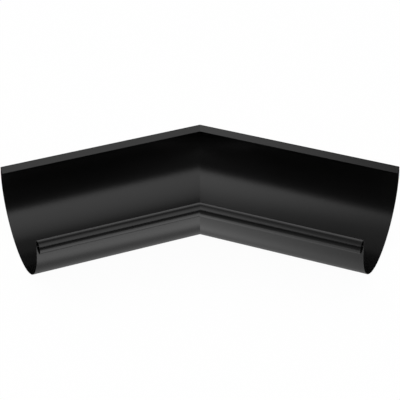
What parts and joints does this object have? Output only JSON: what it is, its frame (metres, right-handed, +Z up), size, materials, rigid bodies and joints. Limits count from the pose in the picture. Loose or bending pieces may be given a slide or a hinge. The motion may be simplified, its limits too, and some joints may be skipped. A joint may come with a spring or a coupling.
{
  "type": "internal gutter angle",
  "caption": "Internal corner for a half-round rain gutter: two square-cut trough arms mitred at 135 degrees, with a rolled front bead and a folded rear edge.",
  "frame": {"origin": "centre of the bounding box in X and Y, on the surface that the belly rests on", "axes": "+X across the angle to the right, +Y towards the fascia and the outside of the corner, +Z up and out of the trough; the mitre lies in the plane X = 0"},
  "size_m": [0.486, 0.254, 0.097],
  "materials": {
    "coated_steel": "semi-gloss black organic coating"
  },
  "bodies": {
    "root": {"gutter_angle": "coated_steel"}
  },
  "joints": []
}
